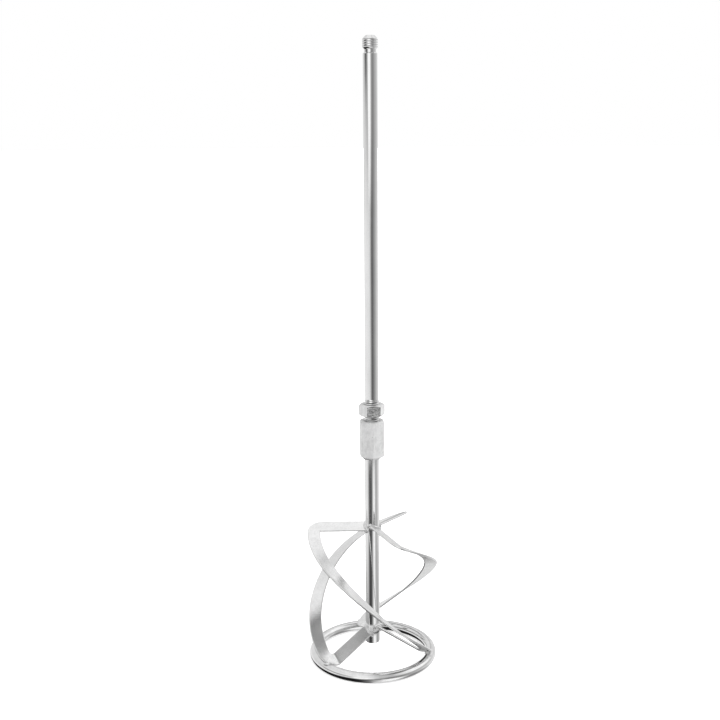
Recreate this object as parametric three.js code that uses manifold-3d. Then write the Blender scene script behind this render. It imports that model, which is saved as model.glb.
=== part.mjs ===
// Mortar mixing paddle: a steel shaft in two lengths joined by a long hex coupling, three twisted blades
// of flat bar and a ring of round bar at the foot. Millimetres, +Z up along the shaft, origin on the floor
// at the centre of the ring.
import * as THREE from "three";
import { mergeVertices } from "three/addons/utils/BufferGeometryUtils.js";
import Module from "manifold-3d";

const wasm = await Module();
wasm.setup();

const degrees = (angle) => (angle * Math.PI) / 180;
const QUARTER_TURN = degrees(90);

// Driving dimensions.
const TOTAL_LENGTH = 590;
const UPPER_ROD_RADIUS = 6.5;
const LOWER_ROD_RADIUS = 7;
const LOWER_ROD_FOOT = 14.8;
const HEX_ACROSS_FLATS = 22;
const COUPLING_BOTTOM = 204.4;
const COUPLING_LENGTH = 35.4;
const COUPLING_TURN = degrees(7.4);
const NUT_GAP = 4.8;
const NUT_HEIGHT = 11;
const NUT_TURN = degrees(40);
const RING_OUTER_RADIUS = 62;
const RING_BAR_RADIUS = 4.85;

// M14 thread: the same on both ends of the upper rod, with a long lead-in cone at the spindle end.
const THREAD_RADIUS = 7;
const THREAD_PITCH = 2;
const THREAD_DEPTH = 1.2;
const THREAD_CHAMFER = 1.6;
const TIP_CHAMFER = 3;
const TOP_THREAD_LENGTH = 12;
const NECK_LENGTH = 2.5;
const NECK_DEPTH = 1.1;
const THREAD_ABOVE_NUT = 5;

// How far each rod reaches into the coupling.
const UPPER_ROD_ENGAGEMENT = 20.8;
const LOWER_ROD_ENGAGEMENT = 10;

// Blades: flat bar. Each has a straight arm at the top, a side that winds round the shaft while it falls,
// and a straight arm at the bottom, and its three stretches meet in round edgewise bends. They are set by
// hand, so the third sits a little lower than the other two.
const BLADE_COUNT = 3;
const FIRST_BLADE_AZIMUTH = degrees(181.8);
const BLADE_LIFTS = [0, 0, -1.8];
const BAR_WIDTH = 12.6;
const BAR_THICKNESS = 2;
const BLADE_OUTER_RADIUS = 62.8;
const TOP_BEND_OUTER_RADIUS = 13.8;
const BOTTOM_BEND_OUTER_RADIUS = 16;
const TOP_CORNER_HEIGHT = 128.7;
const SIDE_DROP = 110.5;
const SIDE_SWEEP = degrees(151.3);
const TOP_STEEPNESS = degrees(64);
const BOTTOM_STEEPNESS = degrees(54);
const SIDE_CURVE = 0.48;
const TOP_ARM_RISE = 0.04;
const BOTTOM_ARM_RISE = 0.425;

// Small features and gaps.
const ROD_CHAMFER = 1;
const HEX_CHAMFER_ANGLE = degrees(30);
const HEX_CUTTER_MARGIN = 1;
const BORE_CHAMFER = 0.8;
const BAR_CHAMFER = 0.4;
const RUNNING_CLEARANCE = 0.08;
const WELD_GAP = 0.15;
const WELD_LEG = 1.8;
const ROOT_WELD_REACH = 4;
const COUPLING_WELD_LEG = 2.5;
const COUPLING_WELD_STEPS = 3;
const RING_WELD_SIZE = new THREE.Vector3(2.6, 5, 2.6);
const RING_WELD_SHARE = 0.5;
const RING_WELD_RADIUS = 56.5;
const RING_WELD_LEAD = degrees(4);

// Facets.
const ROD_SEGMENTS = 24;
const BORE_SEGMENTS = 36;
const RING_SEGMENTS = 72;
const RING_BAR_SEGMENTS = 12;
const BLADE_STEPS = 68;
const WELD_SEGMENTS = 12;

const steel = (name, colour, roughness) =>
  new THREE.MeshStandardMaterial({ name, color: colour, roughness, metalness: 1 });
const brightBar = steel("bright_bar", 0xe2e3e4, 0.16);
const platedHex = steel("plated_hex", 0xd2d4d6, 0.34);
const satinFlat = steel("satin_flat", 0xd6d8da, 0.3);
const weldMetal = steel("weld_metal", 0xc4c6c8, 0.42);

// A closed geometry as a manifold-3d solid, and back.
function solidOf(geometry) {
  const bare = new THREE.BufferGeometry();
  const flat = geometry.index ? geometry.toNonIndexed() : geometry;
  bare.setAttribute("position", flat.getAttribute("position"));
  const merged = mergeVertices(bare, 1e-3);
  return new wasm.Manifold(
    new wasm.Mesh({
      numProp: 3,
      vertProperties: merged.attributes.position.array,
      triVerts: new Uint32Array(merged.index.array),
    }),
  );
}

function geometryOf(solid) {
  const { vertProperties, triVerts } = solid.getMesh();
  return new THREE.BufferGeometry()
    .setAttribute("position", new THREE.BufferAttribute(vertProperties, 3))
    .setIndex(new THREE.BufferAttribute(triVerts, 1));
}

// A solid of revolution about Z from [radius, height] pairs, listed from the bottom up.
function turned(profile, segments) {
  const points = profile.map(([radius, height]) => new THREE.Vector2(radius, height));
  return new THREE.LatheGeometry(points, segments).rotateX(Math.PI / 2);
}

// The radius of a faceted bore whose flats stay clear of a rod of the given radius as it turns.
function boreRadius(rodRadius) {
  return (rodRadius + RUNNING_CLEARANCE) / Math.cos(Math.PI / BORE_SEGMENTS);
}

// Thread ridges as [radius, height] pairs between two heights, crests on the thread's radius.
function threadProfile(bottom, top) {
  const turns = Math.floor((top - bottom) / THREAD_PITCH);
  const start = bottom + (top - bottom - turns * THREAD_PITCH) / 2;
  const root = THREAD_RADIUS - THREAD_DEPTH;
  const profile = [[root, start]];
  for (let turn = 0; turn < turns; turn += 1) {
    profile.push([THREAD_RADIUS, start + (turn + 0.5) * THREAD_PITCH]);
    profile.push([root, start + (turn + 1) * THREAD_PITCH]);
  }
  return profile;
}

const couplingTop = COUPLING_BOTTOM + COUPLING_LENGTH;
const nutBottom = couplingTop + NUT_GAP;
const nutTop = nutBottom + NUT_HEIGHT;

// The upper rod: a long thread for the coupling and the nut, the plain bar, a neck and the spindle thread.
function upperRod() {
  const foot = couplingTop - UPPER_ROD_ENGAGEMENT;
  const neckTop = TOTAL_LENGTH - TOP_THREAD_LENGTH;
  const neckBottom = neckTop - NECK_LENGTH;
  const tip = THREAD_RADIUS - THREAD_CHAMFER;
  const neck = UPPER_ROD_RADIUS - NECK_DEPTH;
  return turned(
    [
      [0, foot],
      [tip, foot],
      ...threadProfile(foot + THREAD_CHAMFER / 2, nutTop + THREAD_ABOVE_NUT),
      [UPPER_ROD_RADIUS, nutTop + THREAD_ABOVE_NUT + THREAD_CHAMFER / 2],
      [UPPER_ROD_RADIUS, neckBottom - NECK_DEPTH],
      [neck, neckBottom],
      [neck, neckTop],
      ...threadProfile(neckTop, TOTAL_LENGTH - TIP_CHAMFER),
      [THREAD_RADIUS - TIP_CHAMFER, TOTAL_LENGTH],
      [0, TOTAL_LENGTH],
    ],
    ROD_SEGMENTS,
  );
}

// The lower rod: plain bar with a chamfer at each end.
function lowerRod() {
  const top = COUPLING_BOTTOM + LOWER_ROD_ENGAGEMENT;
  const end = LOWER_ROD_RADIUS - ROD_CHAMFER;
  return turned(
    [
      [0, LOWER_ROD_FOOT],
      [end, LOWER_ROD_FOOT],
      [LOWER_ROD_RADIUS, LOWER_ROD_FOOT + ROD_CHAMFER],
      [LOWER_ROD_RADIUS, top - ROD_CHAMFER],
      [end, top],
      [0, top],
    ],
    ROD_SEGMENTS,
  );
}

// A hexagonal nut of any length: chamfered corners, and a bore with a chamfer at each mouth. The shaft
// turns in it with a running clearance, so no thread is cut in the wall.
function hexNut(bottom, height, turn) {
  const top = bottom + height;
  const flat = HEX_ACROSS_FLATS / 2;
  const corner = flat / Math.cos(Math.PI / 6);
  const fall = (corner - flat) * Math.tan(HEX_CHAMFER_ANGLE);
  const bore = boreRadius(THREAD_RADIUS);
  const prism = new THREE.CylinderGeometry(corner, corner, height, 6)
    .rotateX(Math.PI / 2)
    .rotateZ(turn)
    .translate(0, 0, bottom + height / 2);
  const outer = corner + HEX_CUTTER_MARGIN;
  const outerFall = (outer - flat) * Math.tan(HEX_CHAMFER_ANGLE);
  const rounding = turned(
    [
      [0, bottom],
      [flat, bottom],
      [outer, bottom + outerFall],
      [outer, top - outerFall],
      [flat, top],
      [0, top],
    ],
    BORE_SEGMENTS,
  );
  const hole = turned(
    [
      [0, bottom - fall],
      [bore + BORE_CHAMFER + fall, bottom - fall],
      [bore, bottom + BORE_CHAMFER],
      [bore, top - BORE_CHAMFER],
      [bore + BORE_CHAMFER + fall, top + fall],
      [0, top + fall],
    ],
    BORE_SEGMENTS,
  );
  return geometryOf(solidOf(prism).intersect(solidOf(rounding)).subtract(solidOf(hole)));
}

// The ring's round bar, grown by a margin and moved where a neighbour is cut back from it.
function ringBar(margin = 0, shift = 0) {
  const points = [];
  for (let i = 0; i <= RING_BAR_SEGMENTS; i += 1) {
    const angle = (i / RING_BAR_SEGMENTS) * 2 * Math.PI;
    points.push([
      RING_OUTER_RADIUS - RING_BAR_RADIUS + (RING_BAR_RADIUS + margin) * Math.cos(angle),
      RING_BAR_RADIUS + shift + (RING_BAR_RADIUS + margin) * Math.sin(angle),
    ]);
  }
  return turned(points, RING_SEGMENTS);
}

const sideRadius = BLADE_OUTER_RADIUS - BAR_WIDTH / 2;
const topBendRadius = TOP_BEND_OUTER_RADIUS - BAR_WIDTH / 2;
const bottomBendRadius = BOTTOM_BEND_OUTER_RADIUS - BAR_WIDTH / 2;
const rodSurface = LOWER_ROD_RADIUS + WELD_GAP;

// The side of a blade, unrolled: x runs round the shaft at the side's radius, y is the height.
const topDirection = new THREE.Vector2(Math.sin(TOP_STEEPNESS), -Math.cos(TOP_STEEPNESS));
const bottomDirection = new THREE.Vector2(Math.sin(BOTTOM_STEEPNESS), -Math.cos(BOTTOM_STEEPNESS));
const sideTop = new THREE.Vector2(0, TOP_CORNER_HEIGHT);
const sideBottom = new THREE.Vector2(sideRadius * SIDE_SWEEP, TOP_CORNER_HEIGHT - SIDE_DROP);
const sideHandle = SIDE_CURVE * sideTop.distanceTo(sideBottom);
const unrolledSide = new THREE.CubicBezierCurve(
  sideTop,
  sideTop.clone().addScaledVector(topDirection, sideHandle),
  sideBottom.clone().addScaledVector(bottomDirection, -sideHandle),
  sideBottom,
);

// A point of a blade's centreline with the bar's own directions there. The flat of the bar always holds
// the outward direction and the side's direction; heading is the angle from the first to the second.
function station(radius, unrolled, direction, heading) {
  const azimuth = unrolled.x / sideRadius;
  const outward = new THREE.Vector3(Math.cos(azimuth), Math.sin(azimuth), 0);
  const round = new THREE.Vector3(-Math.sin(azimuth), Math.cos(azimuth), 0);
  const along = round.multiplyScalar(direction.x).setZ(direction.y);
  return {
    point: outward.clone().multiplyScalar(radius).setZ(unrolled.y),
    across: outward.clone().multiplyScalar(Math.sin(heading)).addScaledVector(along, -Math.cos(heading)),
    face: along.clone().cross(outward),
  };
}

// A bend of the bar: heading turns a quarter turn from start round a corner of the unrolled side.
function bendStation(corner, direction, bendRadius, start, share) {
  const heading = start + QUARTER_TURN * share;
  const unrolled = corner.clone().addScaledVector(direction, -bendRadius * Math.cos(heading));
  return station(sideRadius - bendRadius * (1 - Math.sin(heading)), unrolled, direction, heading);
}

const topBend = (share) => bendStation(sideTop, topDirection, topBendRadius, 0, share);
const bottomBend = (share) => bendStation(sideBottom, bottomDirection, bottomBendRadius, QUARTER_TURN, share);

// A straight arm from the end of a bend in to its root, rising as it goes in.
function armStation(end, rise, rootRadius, share) {
  const reach = Math.hypot(end.point.x, end.point.y);
  const inward = (reach - rootRadius) * share;
  const point = end.point.clone().multiplyScalar((reach - inward) / reach);
  point.z = end.point.z + rise * inward;
  return { ...end, point };
}

// The whole centreline of a blade, as a curve that hands its own frames to the extrusion.
class BladePath extends THREE.Curve {
  constructor(rootRadius) {
    super();
    const topArm = (share) => armStation(topBend(0), TOP_ARM_RISE, rootRadius, 1 - share);
    const bottomArm = (share) => armStation(bottomBend(1), BOTTOM_ARM_RISE, rootRadius, share);
    this.stretches = [
      { length: sideRadius - topBendRadius - rootRadius, at: topArm },
      { length: QUARTER_TURN * topBendRadius, at: topBend },
      {
        length: unrolledSide.getLength(),
        at: (share) => {
          const direction = unrolledSide.getTangentAt(share);
          return station(sideRadius, unrolledSide.getPointAt(share), direction, QUARTER_TURN);
        },
      },
      { length: QUARTER_TURN * bottomBendRadius, at: bottomBend },
      { length: sideRadius - bottomBendRadius - rootRadius, at: bottomArm },
    ];
    this.total = this.stretches.reduce((sum, stretch) => sum + stretch.length, 0);
  }

  stationAt(t) {
    let distance = t * this.total;
    for (const stretch of this.stretches.slice(0, -1)) {
      if (distance < stretch.length) return stretch.at(distance / stretch.length);
      distance -= stretch.length;
    }
    const last = this.stretches.at(-1);
    return last.at(Math.min(distance / last.length, 1));
  }

  getPoint(t) {
    return this.stationAt(t).point;
  }

  getPointAt(t) {
    return this.getPoint(t);
  }

  computeFrenetFrames(steps) {
    const stations = Array.from({ length: steps + 1 }, (_, i) => this.stationAt(i / steps));
    return {
      tangents: stations.map(({ across, face }) => across.clone().cross(face)),
      normals: stations.map(({ across }) => across),
      binormals: stations.map(({ face }) => face),
    };
  }
}

// The bar's section with its four edges broken, grown by a margin for cutting the welds clear of it.
function barSection(margin = 0) {
  const x = BAR_WIDTH / 2 + margin;
  const y = BAR_THICKNESS / 2 + margin;
  const section = new THREE.Shape();
  section.moveTo(x, BAR_CHAMFER - y);
  section.lineTo(x, y - BAR_CHAMFER);
  section.lineTo(x - BAR_CHAMFER, y);
  section.lineTo(BAR_CHAMFER - x, y);
  section.lineTo(-x, y - BAR_CHAMFER);
  section.lineTo(-x, BAR_CHAMFER - y);
  section.lineTo(BAR_CHAMFER - x, -y);
  section.lineTo(x - BAR_CHAMFER, -y);
  section.closePath();
  return section;
}

// A blade's bar, or one grown by a margin for cutting its neighbours clear of it.
function bladeBar(margin = 0) {
  const extrudePath = new BladePath(rodSurface - margin);
  return new THREE.ExtrudeGeometry(barSection(margin), { steps: BLADE_STEPS, extrudePath });
}

// A blade, notched where its lower bend lands on the ring. It is built in place but for its lift.
function blade(lift) {
  return geometryOf(solidOf(bladeBar()).subtract(solidOf(ringBar(WELD_GAP, -lift))));
}

// A lump of weld metal: an ellipsoid placed by a matrix and cut clear of the blade and of the piece that
// the blade is welded to.
function weldLump(size, place, other) {
  const lump = new THREE.SphereGeometry(1, WELD_SEGMENTS, WELD_SEGMENTS / 2)
    .scale(size.x, size.y, size.z)
    .applyMatrix4(place);
  return geometryOf(solidOf(lump).subtract(solidOf(other)).subtract(solidOf(bladeBar(WELD_GAP))));
}

// The weld round a blade's root on the lower rod.
function rootWeld({ point, across, face }) {
  const outward = point.clone().setZ(0).normalize();
  const centre = outward.clone().multiplyScalar(LOWER_ROD_RADIUS).setZ(point.z);
  const place = new THREE.Matrix4().makeBasis(across, face, across.clone().cross(face)).setPosition(centre);
  const size = new THREE.Vector3(BAR_WIDTH / 2 + WELD_LEG, BAR_THICKNESS / 2 + WELD_LEG, ROOT_WELD_REACH);
  const rod = turned(
    [
      [0, 0],
      [rodSurface, 0],
      [rodSurface, COUPLING_BOTTOM],
      [0, COUPLING_BOTTOM],
    ],
    BORE_SEGMENTS,
  );
  return weldLump(size, place, rod);
}

// The weld where a blade's lower bend lands on the ring: a lump along the ring, just past the bar's edge.
function ringWeld(lift) {
  const landing = bottomBend(RING_WELD_SHARE);
  const edge = landing.point.clone().addScaledVector(landing.across, BAR_WIDTH / 2);
  const azimuth = Math.atan2(edge.y, edge.x) + RING_WELD_LEAD;
  const place = new THREE.Matrix4()
    .makeRotationZ(azimuth)
    .multiply(new THREE.Matrix4().makeTranslation(RING_WELD_RADIUS, 0, 2 * RING_BAR_RADIUS - lift));
  return weldLump(RING_WELD_SIZE, place, ringBar(WELD_GAP, -lift));
}

// The hollow fillet round the lower rod under the coupling.
function couplingWeld() {
  const top = COUPLING_BOTTOM - WELD_GAP;
  const points = [[rodSurface, top]];
  for (let i = 0; i <= COUPLING_WELD_STEPS; i += 1) {
    const angle = (i / COUPLING_WELD_STEPS) * QUARTER_TURN;
    points.push([
      rodSurface + COUPLING_WELD_LEG * (1 - Math.cos(angle)),
      top - COUPLING_WELD_LEG * (1 - Math.sin(angle)),
    ]);
  }
  return turned([...points, [rodSurface, top]], ROD_SEGMENTS);
}

function piece(name, geometry, material) {
  const mesh = new THREE.Mesh(geometry, material);
  mesh.name = name;
  return mesh;
}

// One blade with its three welds, turned into its place round the shaft.
function bladeGroup(index) {
  const number = index + 1;
  const lift = BLADE_LIFTS[index];
  const path = new BladePath(rodSurface);
  const group = new THREE.Group();
  group.rotation.z = FIRST_BLADE_AZIMUTH + (index * 2 * Math.PI) / BLADE_COUNT;
  group.position.z = lift;
  group.add(
    piece(`blade_${number}`, blade(lift), satinFlat),
    piece(`top_weld_${number}`, rootWeld(path.stationAt(0)), weldMetal),
    piece(`bottom_weld_${number}`, rootWeld(path.stationAt(1)), weldMetal),
    piece(`ring_weld_${number}`, ringWeld(lift), weldMetal),
  );
  return group;
}

const paddle = new THREE.Group();
paddle.add(
  piece("upper_rod", upperRod(), brightBar),
  piece("jam_nut", hexNut(nutBottom, NUT_HEIGHT, NUT_TURN), platedHex),
  piece("hex_coupling", hexNut(COUPLING_BOTTOM, COUPLING_LENGTH, COUPLING_TURN), platedHex),
  piece("coupling_weld", couplingWeld(), weldMetal),
  piece("lower_rod", lowerRod(), brightBar),
  piece("ring", ringBar(), brightBar),
);
for (let index = 0; index < BLADE_COUNT; index += 1) paddle.add(bladeGroup(index));

export default paddle;
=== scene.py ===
"""Mortar mixing paddle: a threaded steel shaft in two lengths, a hex coupling and its jam nut, three
twisted blades of flat bar and a ring of round bar. Metres, +Z up the shaft, the ring on z = 0."""
import math

import bmesh
import bpy
from mathutils import Matrix, Vector, noise


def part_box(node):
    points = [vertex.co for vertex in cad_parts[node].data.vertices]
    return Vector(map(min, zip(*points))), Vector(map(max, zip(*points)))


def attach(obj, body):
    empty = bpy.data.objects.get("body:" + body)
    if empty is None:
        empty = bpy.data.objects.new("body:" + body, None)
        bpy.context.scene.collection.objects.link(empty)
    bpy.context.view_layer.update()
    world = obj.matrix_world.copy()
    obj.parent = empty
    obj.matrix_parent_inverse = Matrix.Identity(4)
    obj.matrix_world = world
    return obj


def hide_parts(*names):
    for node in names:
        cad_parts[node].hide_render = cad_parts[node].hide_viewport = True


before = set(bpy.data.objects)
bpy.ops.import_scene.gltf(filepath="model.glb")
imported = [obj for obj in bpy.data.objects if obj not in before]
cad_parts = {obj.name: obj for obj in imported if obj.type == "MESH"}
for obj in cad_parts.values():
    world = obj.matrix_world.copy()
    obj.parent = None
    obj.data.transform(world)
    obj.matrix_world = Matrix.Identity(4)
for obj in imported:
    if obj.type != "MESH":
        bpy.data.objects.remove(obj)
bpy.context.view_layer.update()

MM = 0.001
UP = Vector((0, 0, 1))
QUARTER_TURN = math.pi / 2
SIXTH_TURN = math.pi / 3
FULL_TURN = 2 * math.pi


# --- Sizes read from the frame -------------------------------------------------------------------------

ROD_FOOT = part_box("upper_rod")[0].z
ROD_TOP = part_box("upper_rod")[1].z
THREAD_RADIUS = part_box("upper_rod")[1].x
LOWER_FOOT, LOWER_TOP = (corner.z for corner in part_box("lower_rod"))
LOWER_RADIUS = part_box("lower_rod")[1].x
NUT_BOTTOM, NUT_TOP = (corner.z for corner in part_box("jam_nut"))
COUPLING_BOTTOM, COUPLING_TOP = (corner.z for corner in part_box("hex_coupling"))
RING_OUTER_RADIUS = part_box("ring")[1].x
RING_BAR_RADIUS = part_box("ring")[1].z / 2
RING_RADIUS = RING_OUTER_RADIUS - RING_BAR_RADIUS

# --- Sizes that the frame's boxes don't give -----------------------------------------------------------

UPPER_RADIUS = 6.5 * MM
THREAD_PITCH = 2 * MM
THREAD_DEPTH = 1.2 * MM
THREAD_ROOT_SHARE = 0.1
THREAD_CREST_SHARE = 0.6
THREAD_RUN_OUT = 1.5 * THREAD_PITCH
THREAD_CHAMFER = 1.6 * MM
TIP_CHAMFER = 3 * MM
TOP_THREAD_LENGTH = 12 * MM
NECK_LENGTH = 2.5 * MM
NECK_DEPTH = 1.1 * MM
THREAD_ABOVE_NUT = 5 * MM
ROD_CHAMFER = 1 * MM

HEX_ACROSS_FLATS = 22 * MM
HEX_CHAMFER_SLOPE = math.tan(math.radians(30))
NUT_TURN = math.radians(40)
COUPLING_TURN = math.radians(7.4)
HEX_FACE_INSET = 0.35 * MM
HEX_FACE_RADIUS = HEX_ACROSS_FLATS / 2 - HEX_FACE_INSET
HEX_EDGE_ROUNDING = 0.35 * MM
RUNNING_CLEARANCE = 0.08 * MM
BORE_RADIUS = THREAD_RADIUS + RUNNING_CLEARANCE
BORE_CHAMFER = 0.8 * MM
STAINED_FLAT_AZIMUTH = NUT_TURN + 4 * SIXTH_TURN
STAIN_EDGE = 0.1 * MM
# How far below the plain bar's radius the thread roots start to be painted near-black, as grime and painted
# shade.
GRIME_AND_SHADE_DEPTH = 0.1 * MM

BLADE_COUNT = 3
FIRST_BLADE_AZIMUTH = math.radians(181.8)
BLADE_LIFTS = (0, 0, -1.8 * MM)
BAR_WIDTH = 12.6 * MM
BAR_THICKNESS = 2 * MM
BAR_ROUNDING = 0.85 * MM
BLADE_OUTER_RADIUS = 62.75 * MM
TOP_BEND_OUTER_RADIUS = 13.8 * MM
BOTTOM_BEND_OUTER_RADIUS = 16 * MM
TOP_CORNER_HEIGHT = 128.7 * MM
SIDE_DROP = 110.5 * MM
SIDE_SWEEP = math.radians(151.3)
TOP_STEEPNESS = math.radians(64)
BOTTOM_STEEPNESS = math.radians(54)
SIDE_CURVE = 0.48
TOP_ARM_RISE = 0.04
BOTTOM_ARM_RISE = 0.425
ROOT_RADIUS = 4.6 * MM
NOTCH_CLEARANCE = 0.05 * MM

# A root bead runs round the bar's outline, drawn in a little across and let out a little in thickness.
ROOT_BEAD_RADIUS = 1.5 * MM
ROOT_BEAD_LIFT = 0.2 * MM
ROOT_BEAD_DRAWN_IN = 0.2 * MM
ROOT_BEAD_LET_OUT = 0.4 * MM
ROOT_BEAD_SQUARENESS = 0.35
ROOT_BEAD_ROUNDNESS = 0.7
ROOT_BEAD_REACH = 0.94
COUPLING_BEAD_RADIUS = 1.6 * MM
COUPLING_BEAD_OUT = 0.5 * MM
COUPLING_BEAD_DROP = 0.4 * MM
RING_BEAD_RADIUS = 1.8 * MM
RING_BEAD_START = 0.2
RING_BEAD_END = 0.95

# A bead's size is its radius times the least share, with a share for its ripples and one for its lumps.
LEAST_SHARE = 0.9
RIPPLE_SHARE = 0.16
RIPPLE_PITCH = 1.5 * MM
RIPPLE_LAG = 0.35
LUMP_SHARE = 0.22
LUMPS_TO_THE_METRE = 420
LUMP_TURN = 0.6
LEAST_END = 0.02
COUPLING_SEED = 11
TOP_SEED = 3
BOTTOM_SEED = 6
SEED_SHIFT = Vector((7.3, 3.1, 5.7))

# --- Mesh detail ---------------------------------------------------------------------------------------

ROD_COLUMNS = 64
TURN_ROWS = 16
UPPER_BAR_STEPS = 40
LOWER_BAR_STEPS = 24
EDGE_STEPS = 4
ROD_SUPPORT = 0.15 * MM
BAR_SUPPORT = 0.3 * MM
FLAT_COLUMNS = 12
HEX_COLUMNS = 6 * FLAT_COLUMNS
HEX_EDGE_SEGMENTS = 3
HEX_EDGE_ANGLE = math.radians(18)
RING_COLUMNS = 216
RING_BAR_COLUMNS = 36
ARM_STEPS = 20
BEND_STEPS = 14
SIDE_STEPS = 110
BEAD_COLUMNS = 14
ROOT_BEAD_STEPS = 120
RING_BEAD_STEPS = 40
COUPLING_BEAD_STEPS = 200
SHARP_ANGLE = math.radians(35)
BLADE_SHARP_ANGLE = math.radians(50)
BEAD_SHARP_ANGLE = math.radians(75)
MERGE_DISTANCE = 2e-7
SLIVER_LENGTH = 1e-7

# --- Camera, floor and light ---------------------------------------------------------------------------

CAMERA_PLACE = (-0.01076, -1.0105, 0.5089)
CAMERA_TILT_DOWN = 0.206
CAMERA_ROLL = 0.007
SENSOR_WIDTH_IN_MM = 36
LENS_IN_MM = 55.204
CLIP_START = 0.01

FLOOR_RADIUS = 30
FLOOR_COLUMNS = 96
FLOOR_DROP = 0.2 * MM
FLOOR_TONE = 0.93
FLOOR_GLOW = 0.5

SUN_DIRECTION = (-0.8, 0.35, -1)
SUN_STRENGTH = 2.6
SUN_SPREAD = math.radians(100)

# --- Materials' shared values --------------------------------------------------------------------------

# Most of a noise texture's values lie between these two.
WEAK_NOISE = 0.3
STRONG_NOISE = 0.7


def make_camera():
    """A long lens about a metre in front, a little below the top of the shaft, tilted down."""
    data = bpy.data.cameras.new("camera")
    data.sensor_width = SENSOR_WIDTH_IN_MM
    data.lens = LENS_IN_MM
    data.clip_start = CLIP_START
    camera = bpy.data.objects.new("camera", data)
    tilt = Matrix.Rotation(QUARTER_TURN - CAMERA_TILT_DOWN, 4, "X")
    roll = Matrix.Rotation(-CAMERA_ROLL, 4, "Z")
    camera.matrix_world = Matrix.Translation(CAMERA_PLACE) @ tilt @ roll
    bpy.context.scene.collection.objects.link(camera)
    bpy.context.scene.camera = camera


def make_floor():
    """A wide pale disc, a little lit from within. The polished steel reflects the room instead of it."""
    mesh = bpy.data.meshes.new("floor")
    bm = bmesh.new()
    bmesh.ops.create_circle(bm, cap_ends=True, segments=FLOOR_COLUMNS, radius=FLOOR_RADIUS)
    bm.to_mesh(mesh)
    bm.free()
    floor = bpy.data.objects.new("floor", mesh)
    floor.location.z = -FLOOR_DROP
    floor.visible_glossy = False
    bpy.context.scene.collection.objects.link(floor)
    material = bpy.data.materials.new("floor_pale")
    material.use_nodes = True
    shader = material.node_tree.nodes["Principled BSDF"]
    shader.inputs["Base Color"].default_value = grey(FLOOR_TONE)
    shader.inputs["Roughness"].default_value = 1
    shader.inputs["Specular IOR Level"].default_value = 0
    shader.inputs["Emission Color"].default_value = grey(1)
    shader.inputs["Emission Strength"].default_value = FLOOR_GLOW
    mesh.materials.append(material)


def add_sun():
    """A broad soft sun. The steel reflects the room alone."""
    data = bpy.data.lights.new("overhead", "SUN")
    data.angle = SUN_SPREAD
    data.energy = SUN_STRENGTH
    light = bpy.data.objects.new("overhead", data)
    light.rotation_mode = "QUATERNION"
    light.rotation_quaternion = Vector(SUN_DIRECTION).to_track_quat("-Z", "Y")
    light.visible_glossy = False
    bpy.context.scene.collection.objects.link(light)


def grey(value):
    """A grey as an opaque colour."""
    return (value, value, value, 1)


def ramp(tree, source, stops):
    """A grey ramp over (position, value) stops."""
    node = tree.nodes.new("ShaderNodeValToRGB")
    elements = node.color_ramp.elements
    elements[0].position, elements[0].color = stops[0][0], grey(stops[0][1])
    elements[1].position, elements[1].color = stops[-1][0], grey(stops[-1][1])
    for position, value in stops[1:-1]:
        elements.new(position).color = grey(value)
    tree.links.new(source, node.inputs["Fac"])
    return node.outputs["Color"]


def maths(tree, operation, first, second=None, third=None):
    """A math node. Each operand is a socket or a number."""
    node = tree.nodes.new("ShaderNodeMath")
    node.operation = operation
    for socket, value in zip(node.inputs, (first, second, third)):
        if isinstance(value, bpy.types.NodeSocket):
            tree.links.new(value, socket)
        elif value is not None:
            socket.default_value = value
    return node.outputs[0]


def smooth_step(tree, source, start, end):
    """0 before start and 1 after end, with a soft change between them."""
    node = tree.nodes.new("ShaderNodeMapRange")
    node.interpolation_type = "SMOOTHSTEP"
    node.inputs["From Min"].default_value = start
    node.inputs["From Max"].default_value = end
    tree.links.new(source, node.inputs["Value"])
    return node.outputs["Result"]


def window(tree, source, start, end, edge):
    """1 between start and end, with soft edges."""
    rise = smooth_step(tree, source, start - edge, start + edge)
    fall = smooth_step(tree, source, end - edge, end + edge)
    return maths(tree, "SUBTRACT", rise, fall)


def blend_colour(tree, share, first, second):
    """first where share is 0, second where it is 1. Each is a socket or a colour."""
    node = tree.nodes.new("ShaderNodeMix")
    node.data_type = "RGBA"
    tree.links.new(share, node.inputs["Factor"])
    for value, socket in ((first, node.inputs["A"]), (second, node.inputs["B"])):
        if isinstance(value, bpy.types.NodeSocket):
            tree.links.new(value, socket)
        else:
            socket.default_value = value
    return node.outputs["Result"]


def band_stops(bands):
    """Stops by azimuth in degrees, from -180 to 180, as positions from 0 to 1."""
    return [((azimuth + 180) / 360, value) for azimuth, value in bands]


# What the room shows at each azimuth in degrees, 0 in front of the paddle and positive to its right, from
# the ceiling down: light walls and ceiling, and dark openings that polished bar shows as stripes.
CEILING_BANDS = [
    (-180, 0.92), (-100, 0.86), (-40, 0.84), (-10, 0.74), (10, 0.6), (30, 0.42), (50, 0.38),
    (70, 0.22), (92, 0.2), (108, 0.35), (122, 0.8), (140, 0.92), (180, 0.92),
]
HIGH_BANDS = [
    (-180, 0.5), (-170, 0.75), (-110, 0.7), (-70, 0.8), (-20, 0.9), (-4, 0.85), (12, 0.55),
    (40, 0.5), (60, 0.8), (85, 1.0), (115, 1.0), (140, 0.8), (170, 0.7), (180, 0.5),
]
SHOULDER_BANDS = [
    (-180, 0.8), (-110, 0.66), (-70, 0.56), (-50, 0.42), (-38, 0.6), (-25, 0.85), (-4, 0.9), (5, 0.6),
    (14, 0.4), (28, 0.24), (50, 0.27), (68, 0.4), (92, 0.48), (115, 0.6), (150, 0.75), (180, 0.8),
]
EYE_LEVEL_BANDS = [
    (-180, 0.2), (-172, 0.84), (-110, 0.86), (-45, 0.8), (-22, 0.7), (-8, 0.36), (9, 0.12),
    (24, 0.14), (45, 0.27), (70, 0.42), (95, 0.62), (140, 0.8), (168, 0.8), (180, 0.2),
]
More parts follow.
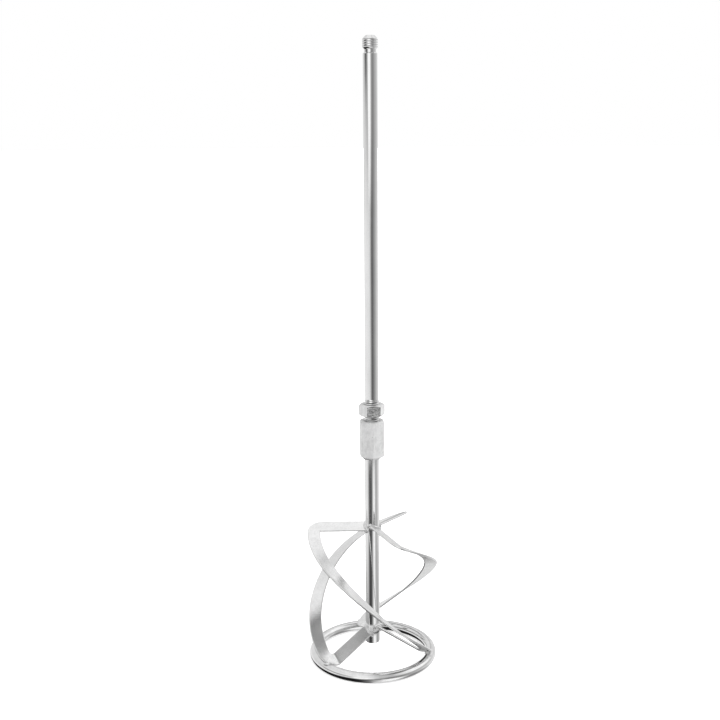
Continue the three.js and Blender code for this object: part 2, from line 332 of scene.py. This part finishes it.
LOW_BANDS = [
    (-180, 0.15), (-168, 0.85), (-110, 0.85), (-74, 0.8), (-60, 0.42), (-44, 0.09), (-10, 0.09), (6, 0.5),
    (20, 0.95), (36, 1.0), (50, 0.5), (72, 0.42), (92, 0.58), (115, 0.85), (165, 0.9), (180, 0.15),
]
FLOOR_BANDS = [
    (-180, 0.5), (-173, 0.02), (-150, 0.01), (-30, 0.01), (-12, 0.12), (10, 0.55), (28, 1.0),
    (52, 1.0), (75, 0.25), (110, 0.25), (130, 0.7), (160, 0.75), (176, 0.75), (180, 0.5),
]
UNDERSIDE_BANDS = [
    (-180, 0.3), (-165, 0.01), (-50, 0.02), (-10, 0.3), (15, 0.8), (60, 0.8), (90, 0.6),
    (130, 0.65), (165, 0.7), (180, 0.3),
]

# From the underside up: each level with the elevations, in degrees, where it begins and where it is full.
LEVELS = (
    (FLOOR_BANDS, -72, -58),
    (LOW_BANDS, -30, -20),
    (EYE_LEVEL_BANDS, -17.3, -16.5),
    (SHOULDER_BANDS, -6, 2),
    (HIGH_BANDS, 12, 24),
    (CEILING_BANDS, 52, 66),
)

# A white window and a dark doorway: azimuths, elevations, their edges' softness, all in degrees, and tone.
PATCHES = (
    ((-36, 0), (-2, 12), (4, 3), 1.05),
    ((-98, -56), (2, 9), (8, 2), 0.1),
)


def make_room():
    """A plain studio as a world: white for the camera, light and dark bands for the steel to reflect."""
    world = bpy.data.worlds.new("studio")
    bpy.context.scene.world = world
    world.use_nodes = True
    tree = world.node_tree
    background = tree.nodes["Background"]
    direction = tree.nodes.new("ShaderNodeTexCoord").outputs["Generated"]
    split = tree.nodes.new("ShaderNodeSeparateXYZ")
    tree.links.new(direction, split.inputs[0])
    toward = maths(tree, "MULTIPLY", split.outputs["Y"], -1)
    azimuth = maths(tree, "DEGREES", maths(tree, "ARCTAN2", split.outputs["X"], toward))
    elevation = maths(tree, "DEGREES", maths(tree, "ARCSINE", split.outputs["Z"]))
    turn = maths(tree, "MULTIPLY_ADD", azimuth, 1 / 360, 0.5)

    room = ramp(tree, turn, band_stops(UNDERSIDE_BANDS))
    for bands, start, end in LEVELS:
        level = ramp(tree, turn, band_stops(bands))
        room = blend_colour(tree, smooth_step(tree, elevation, start, end), room, level)
    for azimuths, elevations, softness, tone in PATCHES:
        beside = window(tree, azimuth, *azimuths, softness[0])
        level_with = window(tree, elevation, *elevations, softness[1])
        room = blend_colour(tree, maths(tree, "MULTIPLY", beside, level_with), room, grey(tone))

    seen = tree.nodes.new("ShaderNodeLightPath").outputs["Is Camera Ray"]
    tree.links.new(blend_colour(tree, seen, room, grey(1)), background.inputs["Color"])


def make_studio():
    """The camera, the floor, the room and the light, with colours shown as they are."""
    make_camera()
    make_floor()
    make_room()
    add_sun()
    bpy.context.scene.view_settings.view_transform = "Standard"


# --- Mesh building -------------------------------------------------------------------------------------


def polar(radius, azimuth, height):
    """A point from its distance and direction from the shaft's axis, and its height."""
    return Vector((radius * math.cos(azimuth), radius * math.sin(azimuth), height))


def piece(name, points, faces, sharp_angle=SHARP_ANGLE):
    """An object from points and faces: doubles merged, slivers dissolved, normals out, smooth shading."""
    bm = bmesh.new()
    vertices = [bm.verts.new(point) for point in points]
    for face in faces:
        corners = [vertices[i] for i in face]
        if len(set(corners)) > 2:
            bm.faces.new(corners)
    bmesh.ops.remove_doubles(bm, verts=bm.verts, dist=MERGE_DISTANCE)
    bmesh.ops.dissolve_degenerate(bm, edges=bm.edges, dist=SLIVER_LENGTH)
    bmesh.ops.recalc_face_normals(bm, faces=bm.faces)
    mesh = bpy.data.meshes.new(name)
    bm.to_mesh(mesh)
    bm.free()
    mesh.shade_smooth()
    mesh.set_sharp_from_angle(angle=sharp_angle)
    thing = bpy.data.objects.new(name, mesh)
    bpy.context.scene.collection.objects.link(thing)
    return thing


def grid_faces(rows, columns, closed_rows=False, closed_ends=False):
    """Quads between rows of columns + 1 points. Closed rows have columns points and close on themselves.
    With closed ends the last row joins the first."""
    width = columns if closed_rows else columns + 1
    faces = []
    for row in range(rows if closed_ends else rows - 1):
        beyond = (row + 1) % rows
        for column in range(columns):
            following = (column + 1) % width
            faces.append((
                row * width + column,
                row * width + following,
                beyond * width + following,
                beyond * width + column,
            ))
    return faces


def apply_modifiers(thing):
    """Replaces a piece's mesh by the one that its modifiers give."""
    depsgraph = bpy.context.evaluated_depsgraph_get()
    mesh = bpy.data.meshes.new_from_object(thing.evaluated_get(depsgraph))
    old = thing.data
    thing.modifiers.clear()
    thing.data = mesh
    bpy.data.meshes.remove(old)
    mesh.name = thing.name


def finish_piece(thing, material, body, slot, *nodes):
    """Gives a piece its material and the body it moves with, and hides the nodes it stands for. slot is not
    used.
    """
    thing.data.materials.clear()
    thing.data.materials.append(material)
    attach(thing, body)
    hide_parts(*nodes)


# --- Rods ----------------------------------------------------------------------------------------------


def ring_row(radius, height):
    """Points once round the shaft's axis, the last on the first."""
    return [polar(radius, FULL_TURN * column / ROD_COLUMNS, height) for column in range(ROD_COLUMNS + 1)]


def plain_rows(radius, bottom, top, steps):
    """Rows of a plain length, with a close row at each end so that its shading stays straight."""
    inner_bottom = bottom + ROD_SUPPORT
    inner_top = top - ROD_SUPPORT
    heights = [inner_bottom + (inner_top - inner_bottom) * step / steps for step in range(steps + 1)]
    return [ring_row(radius, height) for height in (bottom, *heights, top)]


def round_edge(radius, height, size, toward_end):
    """Rows of a rounded edge between a rod's side and its end face, from the side to the face."""
    rows = []
    for step in range(EDGE_STEPS + 1):
        angle = QUARTER_TURN * step / EDGE_STEPS
        rows.append(ring_row(
            radius - size * (1 - math.cos(angle)),
            height - toward_end * size * (1 - math.sin(angle)),
        ))
    return rows


def thread_height(phase):
    """The share of a thread's depth at a place in its turn: a flat root, two flanks and a narrow crest."""
    distance = abs(2 * (phase % 1) - 1)
    return min(max((distance - THREAD_ROOT_SHARE) / (1 - THREAD_ROOT_SHARE - THREAD_CREST_SHARE), 0), 1)


def thread_rows(bottom, top, limit):
    """Rows that follow the thread's own helix. limit(height) gives the least and greatest radius there."""
    root = THREAD_RADIUS - THREAD_DEPTH
    step = THREAD_PITCH / TURN_ROWS
    rows = []
    for index in range(math.ceil((top - bottom + THREAD_PITCH) / step) + 1):
        start = bottom - THREAD_PITCH + index * step
        row = []
        for column in range(ROD_COLUMNS + 1):
            share = column / ROD_COLUMNS
            height = min(max(start + THREAD_PITCH * share, bottom), top)
            least, greatest = limit(height)
            radius = root + THREAD_DEPTH * thread_height(index / TURN_ROWS)
            row.append(polar(min(max(radius, least), greatest), FULL_TURN * share, height))
        rows.append(row)
    return rows


def turned_piece(name, rows):
    """A piece from rows of points that each run once round the shaft's axis."""
    points = [point for row in rows for point in row]
    return piece(name, points, grid_faces(len(rows), ROD_COLUMNS))


def upper_rod():
    """Long thread below, plain bar, neck, and the spindle thread at the top."""
    tip = THREAD_RADIUS - THREAD_CHAMFER
    root = THREAD_RADIUS - THREAD_DEPTH
    neck = UPPER_RADIUS - NECK_DEPTH
    long_top = NUT_TOP + THREAD_ABOVE_NUT
    neck_top = ROD_TOP - TOP_THREAD_LENGTH
    neck_bottom = neck_top - NECK_LENGTH

    def long_thread(height):
        faded = min(max((height - long_top) / THREAD_RUN_OUT + 1, 0), 1)
        least = root + (UPPER_RADIUS - root) * faded
        greatest = THREAD_RADIUS - (THREAD_RADIUS - UPPER_RADIUS) * faded
        return min(least, tip + height - ROD_FOOT), min(greatest, tip + height - ROD_FOOT)

    def top_thread(height):
        return 0, min(height - neck_top + neck, THREAD_RADIUS - TIP_CHAMFER + ROD_TOP - height)

    rows = [ring_row(0, ROD_FOOT)]
    rows += thread_rows(ROD_FOOT, long_top, long_thread)
    rows += plain_rows(UPPER_RADIUS, long_top, neck_bottom - NECK_DEPTH, UPPER_BAR_STEPS)
    rows += [ring_row(neck, neck_bottom), ring_row(neck, neck_top)]
    rows += thread_rows(neck_top, ROD_TOP, top_thread)
    rows += [ring_row(0, ROD_TOP)]
    return turned_piece("upper_rod_bar", rows)


def lower_rod():
    """Plain bar with a rounded edge at each end."""
    rows = [ring_row(0, LOWER_FOOT)]
    rows += reversed(round_edge(LOWER_RADIUS, LOWER_FOOT, ROD_CHAMFER, -1))
    side_bottom, side_top = LOWER_FOOT + ROD_CHAMFER, LOWER_TOP - ROD_CHAMFER
    rows += plain_rows(LOWER_RADIUS, side_bottom, side_top, LOWER_BAR_STEPS)
    rows += round_edge(LOWER_RADIUS, LOWER_TOP, ROD_CHAMFER, 1)
    rows += [ring_row(0, LOWER_TOP)]
    return turned_piece("lower_rod_bar", rows)


# --- Jam nut and coupling ------------------------------------------------------------------------------


def hex_radius(azimuth):
    """The radius of a hexagon's outline, its corners at multiples of a sixth of a turn."""
    return HEX_ACROSS_FLATS / 2 / math.cos(azimuth % SIXTH_TURN - SIXTH_TURN / 2)


def hexagon(name, bottom, top, turn):
    """A hexagonal piece with a bore. A cone cuts its corners at both ends, and its mouths are chamfered."""
    points = []
    for column in range(HEX_COLUMNS):
        azimuth = FULL_TURN * column / HEX_COLUMNS
        side_radius = hex_radius(azimuth)
        fall = (side_radius - HEX_FACE_RADIUS) * HEX_CHAMFER_SLOPE
        profile = [
            (BORE_RADIUS, bottom + BORE_CHAMFER),
            (BORE_RADIUS + BORE_CHAMFER, bottom),
            (HEX_FACE_RADIUS, bottom),
            (side_radius, bottom + fall),
            (side_radius, top - fall),
            (HEX_FACE_RADIUS, top),
            (BORE_RADIUS + BORE_CHAMFER, top),
            (BORE_RADIUS, top - BORE_CHAMFER),
        ]
        placed_azimuth = azimuth + turn + SIXTH_TURN / 2
        points += [polar(radius, placed_azimuth, height) for radius, height in profile]
    faces = grid_faces(HEX_COLUMNS, len(profile), closed_rows=True, closed_ends=True)
    thing = piece(name, points, faces)
    bevel = thing.modifiers.new("rounded_edges", "BEVEL")
    bevel.width = HEX_EDGE_ROUNDING
    bevel.segments = HEX_EDGE_SEGMENTS
    bevel.limit_method = "ANGLE"
    bevel.angle_limit = HEX_EDGE_ANGLE
    bevel.harden_normals = True
    apply_modifiers(thing)
    return thing


# --- Ring ----------------------------------------------------------------------------------------------


def hoop(name, bar_radius):
    """A round bar of the given radius along the ring's centre line."""
    points = []
    for column in range(RING_COLUMNS):
        azimuth = FULL_TURN * column / RING_COLUMNS
        for step in range(RING_BAR_COLUMNS):
            angle = FULL_TURN * step / RING_BAR_COLUMNS
            radius = RING_RADIUS + bar_radius * math.cos(angle)
            points.append(polar(radius, azimuth, RING_BAR_RADIUS + bar_radius * math.sin(angle)))
    faces = grid_faces(RING_COLUMNS, RING_BAR_COLUMNS, closed_rows=True, closed_ends=True)
    return piece(name, points, faces)


# --- Blades --------------------------------------------------------------------------------------------

SIDE_RADIUS = BLADE_OUTER_RADIUS - BAR_WIDTH / 2
TOP_BEND_RADIUS = TOP_BEND_OUTER_RADIUS - BAR_WIDTH / 2
BOTTOM_BEND_RADIUS = BOTTOM_BEND_OUTER_RADIUS - BAR_WIDTH / 2
TOP_DIRECTION = Vector((math.sin(TOP_STEEPNESS), -math.cos(TOP_STEEPNESS)))
BOTTOM_DIRECTION = Vector((math.sin(BOTTOM_STEEPNESS), -math.cos(BOTTOM_STEEPNESS)))
SIDE_TOP = Vector((0, TOP_CORNER_HEIGHT))
SIDE_BOTTOM = Vector((SIDE_RADIUS * SIDE_SWEEP, TOP_CORNER_HEIGHT - SIDE_DROP))


def station(radius, unrolled, direction, heading):
    """The bar's point, width direction and flat direction. unrolled is a place on the side, rolled flat."""
    azimuth = unrolled.x / SIDE_RADIUS
    outward = polar(1, azimuth, 0)
    along = polar(direction.x, azimuth + QUARTER_TURN, direction.y)
    point = polar(radius, azimuth, unrolled.y)
    across = math.sin(heading) * outward - math.cos(heading) * along
    return point, across, along.cross(outward)


def bend(corner, direction, bend_radius, start, share):
    """A quarter turn of the bar, edgewise, round a corner of the unrolled side."""
    heading = start + QUARTER_TURN * share
    unrolled = corner - direction * bend_radius * math.cos(heading)
    return station(SIDE_RADIUS - bend_radius * (1 - math.sin(heading)), unrolled, direction, heading)


def top_bend(share):
    """The bend from the top arm into the side."""
    return bend(SIDE_TOP, TOP_DIRECTION, TOP_BEND_RADIUS, 0, share)


def bottom_bend(share):
    """The bend from the side into the bottom arm."""
    return bend(SIDE_BOTTOM, BOTTOM_DIRECTION, BOTTOM_BEND_RADIUS, QUARTER_TURN, share)


def side(share):
    """The side's S curve, as a cubic Bezier on the unrolled cylinder."""
    reach = SIDE_CURVE * (SIDE_BOTTOM - SIDE_TOP).length
    start, end = SIDE_TOP, SIDE_BOTTOM
    lead = start + TOP_DIRECTION * reach
    trail = end - BOTTOM_DIRECTION * reach
    rest = 1 - share
    unrolled = rest**3 * start + 3 * rest**2 * share * lead + 3 * rest * share**2 * trail + share**3 * end
    slope = rest**2 * (lead - start) + 2 * rest * share * (trail - lead) + share**2 * (end - trail)
    return station(SIDE_RADIUS, unrolled, slope.normalized(), QUARTER_TURN)


def arm(end, rise, share, root=ROOT_RADIUS):
    """A straight arm from the end of a bend in to its root. share is 0 at the bend and 1 at the root."""
    point, across, face = end
    reach = math.hypot(point.x, point.y)
    inward = (reach - root) * share
    scale = (reach - inward) / reach
    return Vector((point.x * scale, point.y * scale, point.z + rise * inward)), across, face


def top_arm(share, root=ROOT_RADIUS):
    return arm(top_bend(0), TOP_ARM_RISE, share, root)


def bottom_arm(share, root=ROOT_RADIUS):
    return arm(bottom_bend(1), BOTTOM_ARM_RISE, share, root)


def blade_stations():
    """Stations along a whole blade, from its top root to its bottom root."""
    stations = [top_arm(1 - step / ARM_STEPS) for step in range(ARM_STEPS)]
    stations += [top_bend(step / BEND_STEPS) for step in range(BEND_STEPS)]
    stations += [side(step / SIDE_STEPS) for step in range(SIDE_STEPS)]
    stations += [bottom_bend(step / BEND_STEPS) for step in range(BEND_STEPS)]
    stations += [bottom_arm(step / ARM_STEPS) for step in range(ARM_STEPS + 1)]
    return stations


def bar_section():
    """The flat bar's outline as (across, face) pairs: rounded corners, and a close point beside each."""
    half_width = BAR_WIDTH / 2 - BAR_ROUNDING
    half_thickness = BAR_THICKNESS / 2 - BAR_ROUNDING
    outline = []
    for quarter, (x, y) in enumerate(((1, 1), (-1, 1), (-1, -1), (1, -1))):
        corner = Vector((x * half_width, y * half_thickness))
        start = QUARTER_TURN * quarter
        before = Vector((math.sin(start), -math.cos(start)))
        after = Vector((-math.cos(start), -math.sin(start)))
        arc = [
            corner + BAR_ROUNDING * Vector((math.cos(start + turn), math.sin(start + turn)))
            for turn in (QUARTER_TURN * step / EDGE_STEPS for step in range(EDGE_STEPS + 1))
        ]
        outline += [arc[0] + before * BAR_SUPPORT, *arc, arc[-1] + after * BAR_SUPPORT]
    return outline


def blade(name, place, cutter):
    """A bent bar, notched by the cutter where its lower bend lands on the ring."""
    outline = bar_section()
    points = []
    for point, across, face in blade_stations():
        points += [place @ (point + across * x + face * y) for x, y in outline]
    width = len(outline)
    rows = len(points) // width
    faces = grid_faces(rows, width, closed_rows=True)
    faces.append(tuple(range(width)))
    faces.append(tuple(range((rows - 1) * width, rows * width)))
    thing = piece(name, points, faces, BLADE_SHARP_ANGLE)
    notch = thing.modifiers.new("notch", "BOOLEAN")
    notch.operation = "DIFFERENCE"
    notch.solver = "EXACT"
    notch.object = cutter
    apply_modifiers(thing)
    thing.data.shade_smooth()
    thing.data.set_sharp_from_angle(angle=BLADE_SHARP_ANGLE)
    return thing


# --- Welds ---------------------------------------------------------------------------------------------


def bead(name, path, outward, radius, closed, seed):
    """A rippled bead of weld metal along a path of points. outward gives the surface's direction there."""
    count = len(path)
    lengths = [0.0]
    for first, second in zip(path, path[1:]):
        lengths.append(lengths[-1] + (second - first).length)
    total = lengths[-1] + ((path[0] - path[-1]).length if closed else 0)
    ripples = max(round(total / RIPPLE_PITCH), 1)
    offset = seed * SEED_SHIFT
    points = []
    for index, point in enumerate(path):
        before = path[index - 1] if closed or index else point
        after = path[(index + 1) % count] if closed or index < count - 1 else point
        tangent = (after - before).normalized()
        up = (outward[index] - tangent * outward[index].dot(tangent)).normalized()
        sideways = tangent.cross(up)
        share = lengths[index] / total
        swell = 1 if closed else math.sqrt(max(1 - (2 * share - 1) ** 4, LEAST_END))
        for step in range(BEAD_COLUMNS):
            angle = FULL_TURN * step / BEAD_COLUMNS
            direction = up * math.sin(angle) + sideways * math.cos(angle)
            lag = RIPPLE_LAG * math.cos(angle) ** 2
            ripple = abs(math.sin(math.pi * (ripples * share - lag)))
            lump = noise.noise(point * LUMPS_TO_THE_METRE + direction * LUMP_TURN + offset)
            size = radius * swell * (LEAST_SHARE + RIPPLE_SHARE * ripple + LUMP_SHARE * lump)
            points.append(point + direction * size)
    faces = grid_faces(count, BEAD_COLUMNS, closed_rows=True, closed_ends=closed)
    if not closed:
        faces.append(tuple(range(BEAD_COLUMNS)))
        faces.append(tuple(range((count - 1) * BEAD_COLUMNS, count * BEAD_COLUMNS)))
    return piece(name, points, faces, BEAD_SHARP_ANGLE)


def stretched(value, power):
    """A value from -1 to 1 pushed toward its nearer end, more for a smaller power."""
    return math.copysign(abs(value) ** power, value)


def root_bead(name, root, seed):
    """The bead round a blade's root, lying in the corner between the bar and the lower rod."""
    point, across, face = root
    azimuth = math.atan2(point.y, point.x)
    tangent = polar(1, azimuth + QUARTER_TURN, 0)
    half_width = BAR_WIDTH / 2 - ROOT_BEAD_DRAWN_IN
    half_thickness = BAR_THICKNESS / 2 + ROOT_BEAD_LET_OUT
    path, outward = [], []
    for step in range(ROOT_BEAD_STEPS):
        angle = FULL_TURN * step / ROOT_BEAD_STEPS
        from_centre = across * half_width * stretched(math.cos(angle), ROOT_BEAD_SQUARENESS)
        from_centre += face * half_thickness * stretched(math.sin(angle), ROOT_BEAD_ROUNDNESS)
        sideways = from_centre.dot(tangent) / LOWER_RADIUS
        turned = azimuth + math.asin(max(min(sideways, ROOT_BEAD_REACH), -ROOT_BEAD_REACH))
        path.append(polar(LOWER_RADIUS + ROOT_BEAD_LIFT, turned, point.z + from_centre.z))
        outward.append(polar(1, turned, 0))
    return bead(name, path, outward, ROOT_BEAD_RADIUS, True, seed)


def ring_bead(name, place, seed):
    """The bead where a blade's lower bend lands: it follows the bend's outer edge over the ring's crown."""
    path, outward = [], []
    for step in range(RING_BEAD_STEPS + 1):
        share = RING_BEAD_START + (RING_BEAD_END - RING_BEAD_START) * step / RING_BEAD_STEPS
        point, across, _ = bottom_bend(share)
        edge = place @ (point + across * BAR_WIDTH / 2)
        centre = polar(RING_RADIUS, math.atan2(edge.y, edge.x), RING_BAR_RADIUS)
        direction = (edge - centre).normalized()
        path.append(centre + direction * RING_BAR_RADIUS)
        outward.append(direction)
    return bead(name, path, outward, RING_BEAD_RADIUS, False, seed)


def coupling_bead():
    """The bead in the corner between the coupling's lower face and the lower rod."""
    path, outward = [], []
    for step in range(COUPLING_BEAD_STEPS):
        azimuth = FULL_TURN * step / COUPLING_BEAD_STEPS
        path.append(polar(LOWER_RADIUS + COUPLING_BEAD_OUT, azimuth, COUPLING_BOTTOM - COUPLING_BEAD_DROP))
        outward.append((polar(1, azimuth, 0) - UP).normalized())
    return bead("coupling_weld_bead", path, outward, COUPLING_BEAD_RADIUS, True, COUPLING_SEED)


# --- Materials -----------------------------------------------------------------------------------------


def metal(name):
    """A new metal material: its tree, its shader and the object's own coordinates."""
    material = bpy.data.materials.new(name)
    material.use_nodes = True
    tree = material.node_tree
    shader = tree.nodes["Principled BSDF"]
    shader.inputs["Metallic"].default_value = 1
    place = tree.nodes.new("ShaderNodeTexCoord").outputs["Object"]
    return material, tree, shader, place


def noise_texture(tree, place, scale, stretch=(1, 1, 1), detail=4, roughness=0.55):
    """Noise with the given number of blotches to the metre, stretched along the axes."""
    mapping = tree.nodes.new("ShaderNodeMapping")
    mapping.inputs["Scale"].default_value = stretch
    tree.links.new(place, mapping.inputs["Vector"])
    texture = tree.nodes.new("ShaderNodeTexNoise")
    texture.inputs["Scale"].default_value = scale
    texture.inputs["Detail"].default_value = detail
    texture.inputs["Roughness"].default_value = roughness
    tree.links.new(mapping.outputs["Vector"], texture.inputs["Vector"])
    return texture.outputs["Fac"]


def colour_between(tree, share, dark, light, shader):
    """The shader's colour: the dark grey where share is 0, the light grey where it is 1."""
    tree.links.new(blend_colour(tree, share, grey(dark), grey(light)), shader.inputs["Base Color"])


def roughness_between(tree, texture, low, high, shader):
    """The shader's roughness: low where the texture is weak, high where it is strong."""
    node = tree.nodes.new("ShaderNodeMapRange")
    node.inputs["From Min"].default_value = WEAK_NOISE
    node.inputs["From Max"].default_value = STRONG_NOISE
    node.inputs["To Min"].default_value = low
    node.inputs["To Max"].default_value = high
    tree.links.new(texture, node.inputs["Value"])
    tree.links.new(node.outputs["Result"], shader.inputs["Roughness"])


def bump(tree, height, distance, shader, below=None):
    """Relief of the given depth on the shader, laid over the relief below, if there is one."""
    node = tree.nodes.new("ShaderNodeBump")
    node.inputs["Distance"].default_value = distance
    tree.links.new(height, node.inputs["Height"])
    if below is not None:
        tree.links.new(below, node.inputs["Normal"])
    tree.links.new(node.outputs["Normal"], shader.inputs["Normal"])
    return node.outputs["Normal"]


def split_place(tree, place):
    """The X, Y and Z of a place, as sockets."""
    split = tree.nodes.new("ShaderNodeSeparateXYZ")
    tree.links.new(place, split.inputs[0])
    return split.outputs["X"], split.outputs["Y"], split.outputs["Z"]


def thread_grime_and_shade(tree, place):
    """The share of grime and painted shade: deep in the long thread round the nut, and none above it."""
    x, y, z = split_place(tree, place)
    squared = maths(tree, "ADD", maths(tree, "MULTIPLY", x, x), maths(tree, "MULTIPLY", y, y))
    from_axis = maths(tree, "SQRT", squared)
    deep = smooth_step(tree, from_axis, UPPER_RADIUS - GRIME_AND_SHADE_DEPTH, THREAD_RADIUS - THREAD_DEPTH)
    above = smooth_step(tree, z, NUT_TOP, NUT_TOP + 2 * THREAD_ABOVE_NUT)
    return maths(tree, "MULTIPLY", deep, maths(tree, "SUBTRACT", 1, above))


def bright_bar_material():
    """Bright drawn bar: fine lines along its length, faint handling marks, dark grime and painted shade in
    its threads.
    """
    material, tree, shader, place = metal("bright_drawn_bar")
    lines = noise_texture(tree, place, scale=900, stretch=(1, 1, 0.01), detail=3)
    marks = noise_texture(tree, place, scale=60, stretch=(1, 1, 0.25), detail=6, roughness=0.7)
    clean = blend_colour(tree, smooth_step(tree, marks, 0.35, 0.65), grey(0.86), grey(0.95))
    # Near-black painted shade, with some real grime, deep in the thread roots round the nut, so the gap
    # between nut and coupling is dark.
    soiled_and_shaded = blend_colour(tree, thread_grime_and_shade(tree, place), clean, grey(0.04))
    tree.links.new(soiled_and_shaded, shader.inputs["Base Color"])
    roughness_between(tree, marks, 0.05, 0.11, shader)
    bump(tree, lines, 0.004 * MM, shader)
    return material


def bright_ring_material():
    """Bright round bar bent to a ring, with faint grinding marks."""
    material, tree, shader, place = metal("bright_ring_bar")
    marks = noise_texture(tree, place, scale=90, detail=6, roughness=0.7)
    colour_between(tree, smooth_step(tree, marks, 0.35, 0.65), 0.86, 0.96, shader)
    roughness_between(tree, marks, 0.05, 0.12, shader)
    bump(tree, marks, 0.02 * MM, shader)
    return material


def stained_flat(tree, place):
    """1 on the nut's front flat and 0 on every other face."""
    outward = tree.nodes.new("ShaderNodeVectorMath")
    outward.operation = "DOT_PRODUCT"
    outward.inputs[1].default_value = polar(1, STAINED_FLAT_AZIMUTH, 0)
    tree.links.new(place, outward.inputs[0])
    flat = HEX_ACROSS_FLATS / 2
    on_flat = smooth_step(tree, outward.outputs["Value"], flat - 3 * STAIN_EDGE, flat - STAIN_EDGE)
    _, _, z = split_place(tree, place)
    on_nut = smooth_step(tree, z, COUPLING_TOP, NUT_BOTTOM)
    return maths(tree, "MULTIPLY", on_flat, on_nut)


def plated_hex_material():
    """Zinc plate on hexagon bar: pale, mottled and half matt, with a fine grain and one stained flat."""
    material, tree, shader, place = metal("plated_hex_bar")
    shader.inputs["Metallic"].default_value = 0.5
    blotches = noise_texture(tree, place, scale=210, stretch=(1, 1, 0.7), detail=5, roughness=0.75)
    specks = noise_texture(tree, place, scale=700, roughness=0.7)
    grain = noise_texture(tree, place, scale=1800, stretch=(1, 1, 0.3), detail=3)
    pale = blend_colour(tree, smooth_step(tree, blotches, 0.36, 0.62), grey(0.6), grey(0.72))
    stain = maths(tree, "MULTIPLY", stained_flat(tree, place), smooth_step(tree, specks, 0.8, 0.3))
    tree.links.new(blend_colour(tree, stain, pale, grey(0.06)), shader.inputs["Base Color"])
    roughness_between(tree, blotches, 0.36, 0.26, shader)
    below = bump(tree, blotches, 0.04 * MM, shader)
    bump(tree, grain, 0.008 * MM, shader, below)
    return material


def satin_flat_material():
    """Plated flat bar with a satin face: rolling grain and soft clouds."""
    material, tree, shader, place = metal("satin_flat_bar")
    clouds = noise_texture(tree, place, scale=160, detail=8, roughness=0.8)
    grain = noise_texture(tree, place, scale=1300, stretch=(1, 1, 0.5))
    colour_between(tree, smooth_step(tree, clouds, 0.35, 0.65), 0.91, 0.99, shader)
    roughness_between(tree, clouds, 0.28, 0.2, shader)
    bump(tree, grain, 0.01 * MM, shader)
    return material


def weld_metal_material():
    """Plated weld metal: uneven, a little duller in the hollows."""
    material, tree, shader, place = metal("plated_weld_metal")
    hollows = noise_texture(tree, place, scale=380, detail=5, roughness=0.7)
    colour_between(tree, smooth_step(tree, hollows, 0.3, 0.6), 0.6, 0.96, shader)
    roughness_between(tree, hollows, 0.36, 0.22, shader)
    bump(tree, hollows, 0.15 * MM, shader)
    return material


# --- The paddle ----------------------------------------------------------------------------------------


def build_shaft(bright, plated, weld):
    """The two rods, the jam nut and the coupling with its bead."""
    finish_piece(upper_rod(), bright, "upper_rod", "bright_bar", "upper_rod")
    finish_piece(lower_rod(), bright, "mixing_head", "bright_bar", "lower_rod")
    nut = hexagon("jam_nut_hex", NUT_BOTTOM, NUT_TOP, NUT_TURN)
    finish_piece(nut, plated, "jam_nut", "plated_hex", "jam_nut")
    coupling = hexagon("hex_coupling_bar", COUPLING_BOTTOM, COUPLING_TOP, COUPLING_TURN)
    finish_piece(coupling, plated, "mixing_head", "plated_hex", "hex_coupling")
    finish_piece(coupling_bead(), weld, "mixing_head", "weld_metal", "coupling_weld")


def build_blade(index, cutter, satin, weld):
    """One blade with its two root beads and its bead on the ring."""
    number = index + 1
    turn = Matrix.Rotation(FIRST_BLADE_AZIMUTH + index * FULL_TURN / BLADE_COUNT, 4, "Z")
    place = Matrix.Translation(UP * BLADE_LIFTS[index]) @ turn
    bar = blade(f"blade_bar_{number}", place, cutter)
    finish_piece(bar, satin, "mixing_head", "satin_flat", f"blade_{number}")
    roots = (
        ("top", top_arm(1, LOWER_RADIUS), TOP_SEED),
        ("bottom", bottom_arm(1, LOWER_RADIUS), BOTTOM_SEED),
    )
    for end, (point, across, face), seed in roots:
        placed_root = (place @ point, turn @ across, turn @ face)
        lump = root_bead(f"{end}_weld_bead_{number}", placed_root, seed + number)
        finish_piece(lump, weld, "mixing_head", "weld_metal", f"{end}_weld_{number}")
    lump = ring_bead(f"ring_weld_bead_{number}", place, number)
    finish_piece(lump, weld, "mixing_head", "weld_metal", f"ring_weld_{number}")


def build_paddle():
    """The whole paddle. A hoop a little thicker than the ring cuts the blades' notches."""
    weld = weld_metal_material()
    build_shaft(bright_bar_material(), plated_hex_material(), weld)
    ring = hoop("ring_bar", RING_BAR_RADIUS)
    finish_piece(ring, bright_ring_material(), "mixing_head", "bright_ring", "ring")
    satin = satin_flat_material()
    cutter = hoop("cutter", RING_BAR_RADIUS + NOTCH_CLEARANCE)
    for index in range(BLADE_COUNT):
        build_blade(index, cutter, satin, weld)
    bpy.data.objects.remove(cutter)


make_studio()
build_paddle()
